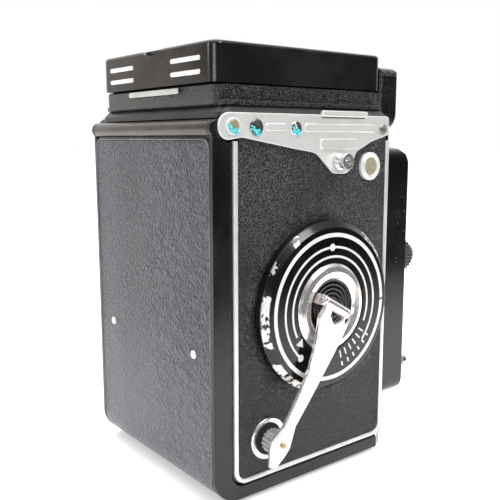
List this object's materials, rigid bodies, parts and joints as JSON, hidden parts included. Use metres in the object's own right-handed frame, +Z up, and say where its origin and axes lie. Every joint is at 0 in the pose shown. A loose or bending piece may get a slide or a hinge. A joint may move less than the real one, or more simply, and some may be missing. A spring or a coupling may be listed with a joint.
{
  "type": "twin lens reflex camera",
  "caption": "Twin lens reflex roll-film camera with folding side crank, hinged film door, focusing lens standard and a folding viewing hood with magnifier.",
  "frame": {"origin": "centre of the bounding box's underside, on the plane that the door's feet stand on", "axes": "+Z up through the viewing hood, -Y the way the lenses look, +Y the film door, -X the winding crank, +X the focusing knob"},
  "size_m": [0.1002, 0.113, 0.1487],
  "materials": {
    "black_enamel": "worn gloss black enamel",
    "crinkle_black": "fine crinkle black paint",
    "black_leather": "grained black leather",
    "cast_alloy": "matt black-stained casting",
    "satin_alloy": "satin aluminium",
    "chrome": "bright",
    "brass": "machined brass",
    "steel": "satin",
    "black_plastic": "moulded black",
    "lens_glass": "coated optical glass",
    "ground_glass": "finely ground",
    "mirror_glass": "front-silvered",
    "matt_black": "matt anti-reflection black",
    "dial_white": "white dial"
  },
  "bodies": {
    "body": {"body_casting": "cast_alloy", "front_cover": "black_enamel", "focus_side_cover": "black_enamel", "focus_side_leather": "black_leather", "crank_side_cover": "black_enamel", "crank_side_leather": "black_leather", "focus_side_trim": "satin_alloy", "crank_side_trim": "satin_alloy", "focus_strap_plate": "satin_alloy", "crank_strap_plate": "satin_alloy", "focus_strap_stud": "satin_alloy", "crank_strap_stud": "satin_alloy", "counter_bezel": "satin_alloy", "crank_plate": "black_enamel", "knob_rest_ring": "chrome", "reflex_mirror": "mirror_glass", "focusing_screen": "ground_glass", "hood_base": "crinkle_black", "hood_catch": "satin_alloy", "nameplate": "crinkle_black", "tripod_bush": "steel", "door_hinge_pin": "steel"},
    "crank": {"crank_hub": "chrome", "crank_hinge_pin": "steel", "drive_gear": "brass"},
    "crank_arm": {"crank_arm": "chrome"},
    "crank_knob": {"crank_knob": "chrome"},
    "idler": {"idler_gear": "brass"},
    "takeup": {"takeup_gear": "brass", "takeup_spool": "black_plastic"},
    "takeup_knob": {"takeup_knob": "satin_alloy"},
    "feed_spool": {"feed_spool": "black_plastic"},
    "feed_knob": {"feed_knob": "satin_alloy"},
    "counter": {"counter_dial": "dial_white"},
    "lower_roller": {"lower_film_roller": "steel"},
    "upper_roller": {"upper_film_roller": "steel"},
    "focus": {"focus_knob": "satin_alloy", "focus_cam": "steel"},
    "standard": {"lens_standard": "black_enamel", "cam_follower": "steel", "front_panel": "black_enamel", "viewing_lens_barrel": "satin_alloy", "viewing_lens": "lens_glass", "shutter_housing": "satin_alloy", "taking_lens": "lens_glass"},
    "aperture_wheel": {"aperture_wheel": "satin_alloy"},
    "speed_wheel": {"shutter_speed_wheel": "satin_alloy"},
    "release": {"release_button": "chrome"},
    "release_collar": {"release_lock_collar": "satin_alloy"},
    "timer": {"self_timer_lever": "satin_alloy"},
    "door": {"back_door": "black_enamel", "door_leather": "black_leather"},
    "pressure": {"pressure_plate": "matt_black"},
    "latch": {"latch_dial": "satin_alloy"},
    "lid": {"hood_lid": "black_enamel"},
    "left_flap": {"focus_side_flap": "matt_black"},
    "right_flap": {"crank_side_flap": "matt_black"},
    "rear_flap": {"rear_flap": "matt_black"},
    "magnifier": {"magnifier_frame": "matt_black", "magnifier_lens": "lens_glass"}
  },
  "joints": [
    {"name": "crank_wind", "type": "hinge", "parent": "body", "child": "crank", "pos_m": [-0.04035, 0.00985, 0.0622], "axis": [1, 0, 0], "range_deg": [0, 140]},
    {"name": "crank_fold", "type": "hinge", "parent": "crank", "child": "crank_arm", "pos_m": [-0.04825, 0.00985, 0.0622], "axis": [0, 0.866, 0.5], "range_deg": [0, 180]},
    {"name": "crank_knob_spin", "type": "hinge", "parent": "crank_arm", "child": "crank_knob", "pos_m": [-0.04335, 0.0342, 0.02003], "axis": [1, 0, 0], "continuous": true},
    {"name": "idler_spin", "type": "hinge", "parent": "body", "child": "idler", "pos_m": [-0.03585, 0.03022, 0.08105], "axis": [1, 0, 0], "range_deg": [-140, 5]},
    {"name": "takeup_spin", "type": "hinge", "parent": "body", "child": "takeup", "pos_m": [-0.03585, 0.03945, 0.1032], "axis": [1, 0, 0], "range_deg": [-5, 200]},
    {"name": "counter_turn", "type": "hinge", "parent": "body", "child": "counter", "pos_m": [-0.03635, -0.00905, 0.1057], "axis": [1, 0, 0], "range_deg": [-15, 5]},
    {"name": "takeup_knob_pull", "type": "slide", "parent": "body", "child": "takeup_knob", "axis": [1, 0, 0], "range_m": [0, 0.006]},
    {"name": "feed_knob_pull", "type": "slide", "parent": "body", "child": "feed_knob", "axis": [1, 0, 0], "range_m": [0, 0.006]},
    {"name": "feed_spin", "type": "hinge", "parent": "body", "child": "feed_spool", "pos_m": [-0.00035, -0.00655, 0.0184], "axis": [1, 0, 0], "continuous": true},
    {"name": "lower_roller_spin", "type": "hinge", "parent": "body", "child": "lower_roller", "pos_m": [-0.00035, 0.04375, 0.0162], "axis": [1, 0, 0], "continuous": true},
    {"name": "upper_roller_spin", "type": "hinge", "parent": "body", "child": "upper_roller", "pos_m": [-0.00035, 0.04375, 0.0862], "axis": [1, 0, 0], "continuous": true},
    {"name": "focus_turn", "type": "hinge", "parent": "body", "child": "focus", "pos_m": [0.03565, 0.00745, 0.0672], "axis": [1, 0, 0], "range_deg": [-5, 275]},
    {"name": "standard_slide", "type": "slide", "parent": "body", "child": "standard", "axis": [0, -1, 0], "range_m": [0, 0.0075]},
    {"name": "aperture_turn", "type": "hinge", "parent": "standard", "child": "aperture_wheel", "pos_m": [0.02365, -0.04655, 0.0722], "axis": [0, 1, 0], "range_deg": [0, 130]},
    {"name": "speed_turn", "type": "hinge", "parent": "standard", "child": "speed_wheel", "pos_m": [-0.02435, -0.04655, 0.0722], "axis": [0, 1, 0], "range_deg": [0, 270]},
    {"name": "release_press", "type": "slide", "parent": "standard", "child": "release", "axis": [0, 1, 0], "range_m": [0, 0.003], "stiffness_N_per_m": 300},
    {"name": "release_lock", "type": "hinge", "parent": "standard", "child": "release_collar", "pos_m": [-0.02485, -0.04455, 0.0262], "axis": [0, 1, 0], "range_deg": [0, 60]},
    {"name": "timer_swing", "type": "hinge", "parent": "standard", "child": "timer", "pos_m": [0.02465, -0.04455, 0.0317], "axis": [0, 1, 0], "range_deg": [0, 60]},
    {"name": "door_open", "type": "hinge", "parent": "body", "child": "door", "pos_m": [-0.00035, 0.05385, 0.1224], "axis": [1, 0, 0], "range_deg": [0, 100]},
    {"name": "pressure_travel", "type": "slide", "parent": "door", "child": "pressure", "axis": [0, 1, 0], "range_m": [0, 0.001], "stiffness_N_per_m": 400},
    {"name": "latch_turn", "type": "hinge", "parent": "door", "child": "latch", "pos_m": [-0.00035, 0.01545, 0.0012], "axis": [0, 0, 1], "range_deg": [0, 90]},
    {"name": "hood_lid_open", "type": "hinge", "parent": "body", "child": "lid", "pos_m": [-0.00035, -0.02105, 0.1461], "axis": [1, 0, 0], "range_deg": [0, 90]},
    {"name": "left_flap_open", "type": "hinge", "parent": "body", "child": "left_flap", "pos_m": [0.03305, 0.01545, 0.1369], "axis": [0, 1, 0], "range_deg": [-1, 91]},
    {"name": "right_flap_open", "type": "hinge", "parent": "body", "child": "right_flap", "pos_m": [-0.03375, 0.01545, 0.1369], "axis": [0, -1, 0], "range_deg": [-1, 91]},
    {"name": "rear_flap_open", "type": "hinge", "parent": "body", "child": "rear_flap", "pos_m": [-0.00035, 0.04665, 0.135], "axis": [-1, 0, 0], "range_deg": [-1, 91]},
    {"name": "magnifier_swing", "type": "hinge", "parent": "lid", "child": "magnifier", "pos_m": [-0.00035, 0.01495, 0.1455], "axis": [-1, 0, 0], "range_deg": [-1, 91]}
  ],
  "couplings": [
    {"joint": "idler_spin", "follows": "crank_wind", "ratio": -0.94737},
    {"joint": "takeup_spin", "follows": "crank_wind", "ratio": 1.3846},
    {"joint": "counter_turn", "follows": "crank_wind", "ratio": -0.083333},
    {"joint": "focus_turn", "follows": "standard_slide", "rad_per_m": 628.32},
    {"joint": "left_flap_open", "follows": "hood_lid_open", "ratio": 1},
    {"joint": "right_flap_open", "follows": "hood_lid_open", "ratio": 1},
    {"joint": "rear_flap_open", "follows": "hood_lid_open", "ratio": 1},
    {"joint": "magnifier_swing", "follows": "hood_lid_open", "ratio": 1}
  ]
}
